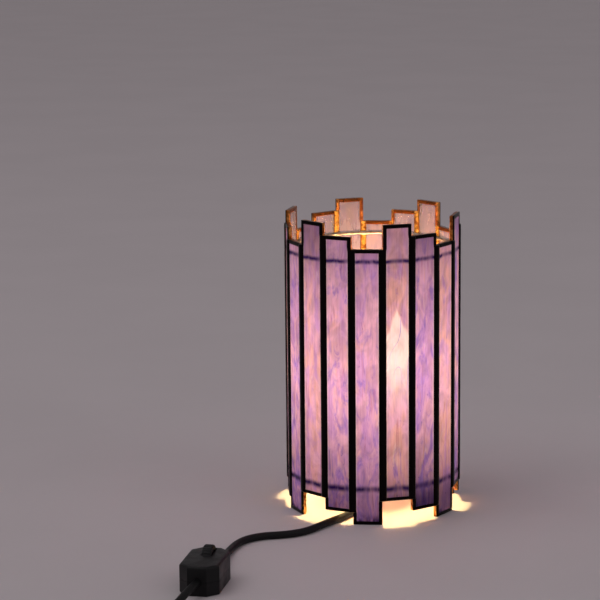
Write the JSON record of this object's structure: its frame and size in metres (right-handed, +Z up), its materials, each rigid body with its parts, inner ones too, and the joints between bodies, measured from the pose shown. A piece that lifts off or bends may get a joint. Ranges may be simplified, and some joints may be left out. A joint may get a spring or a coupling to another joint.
{
  "type": "stained glass table lamp",
  "caption": "Round lantern of upright opalescent glass strips in stepped heights, copper-foiled and soldered, lit by a candle bulb; its cord has a thumbwheel dimmer and a plug.",
  "frame": {"origin": "on the table under the lantern's axis", "axes": "+Z up along the lantern's axis; the front strip, one of the six that stand on the table, faces -Y; +X is to its right as seen from the front"},
  "size_m": [0.2112, 0.4829, 0.25],
  "materials": {
    "opalescent_glass": "wispy lavender, pink and cream, glossy",
    "copper_foil": "copper foil, black patina outside",
    "solder": "hand-run solder with black patina",
    "tinned_wire": "tinned copper wire",
    "brass_sheet": "plain brass",
    "black_plastic": "satin black",
    "steatite": "unglazed ceramic",
    "bulb_cap": "nickel-plated, thin",
    "clear_glass": "clear",
    "filament": "glowing filament strips on a glass stem",
    "cord_rubber": "satin black sheath",
    "zinc_steel": "zinc-plated",
    "plug_rubber": "moulded black plug with metal pins"
  },
  "bodies": {
    "lamp": {"glass_strip_01": "opalescent_glass", "glass_strip_02": "opalescent_glass", "glass_strip_03": "opalescent_glass", "glass_strip_04": "opalescent_glass", "glass_strip_05": "opalescent_glass", "glass_strip_06": "opalescent_glass", "glass_strip_07": "opalescent_glass", "glass_strip_08": "opalescent_glass", "glass_strip_09": "opalescent_glass", "glass_strip_10": "opalescent_glass", "glass_strip_11": "opalescent_glass", "glass_strip_12": "opalescent_glass", "glass_strip_13": "opalescent_glass", "glass_strip_14": "opalescent_glass", "glass_strip_15": "opalescent_glass", "glass_strip_16": "opalescent_glass", "glass_strip_17": "opalescent_glass", "glass_strip_18": "opalescent_glass", "foil_frame_01": "copper_foil", "foil_frame_02": "copper_foil", "foil_frame_03": "copper_foil", "foil_frame_04": "copper_foil", "foil_frame_05": "copper_foil", "foil_frame_06": "copper_foil", "foil_frame_07": "copper_foil", "foil_frame_08": "copper_foil", "foil_frame_09": "copper_foil", "foil_frame_10": "copper_foil", "foil_frame_11": "copper_foil", "foil_frame_12": "copper_foil", "foil_frame_13": "copper_foil", "foil_frame_14": "copper_foil", "foil_frame_15": "copper_foil", "foil_frame_16": "copper_foil", "foil_frame_17": "copper_foil", "foil_frame_18": "copper_foil", "solder_seams": "solder", "top_hoop": "tinned_wire", "bottom_hoop": "tinned_wire", "holder_spider": "brass_sheet", "cord_grip": "black_plastic", "lock_nut": "brass_sheet", "hollow_nipple": "brass_sheet", "lampholder_cap": "black_plastic", "lampholder_shell": "black_plastic", "lampholder_terminal_block": "steatite", "lampholder_screw_sleeve": "brass_sheet", "lampholder_contact_spring": "brass_sheet", "cord_lamp_side": "cord_rubber", "dimmer_lower_shell": "black_plastic", "dimmer_upper_shell": "black_plastic", "dimmer_screws": "zinc_steel", "cord_mains_side": "cord_rubber", "cord_coil": "cord_rubber", "plug": "plug_rubber"},
    "bulb_lift": {"bulb_tip_contact": "solder"},
    "bulb": {"bulb_screw_cap": "bulb_cap", "bulb_envelope": "clear_glass", "bulb_filaments": "filament"},
    "dimmer_wheel": {"dimmer_wheel": "black_plastic"}
  },
  "joints": [
    {"name": "bulb_lift", "type": "slide", "parent": "lamp", "child": "bulb_lift", "axis": [0, 0, 1], "range_m": [0, 0.0114]},
    {"name": "bulb_unscrew", "type": "hinge", "parent": "bulb_lift", "child": "bulb", "pos_m": [0, 0, 0.07], "axis": [0, 0, 1], "range_deg": [0, 1440]},
    {"name": "dimmer_turn", "type": "hinge", "parent": "lamp", "child": "dimmer_wheel", "pos_m": [-0.11157, -0.22588, 0.0182], "axis": [-0.994, 0.1097, 0], "range_deg": [0, 270]}
  ],
  "couplings": [
    {"joint": "bulb_lift", "follows": "bulb_unscrew", "m_per_rad": 0.00044914}
  ]
}
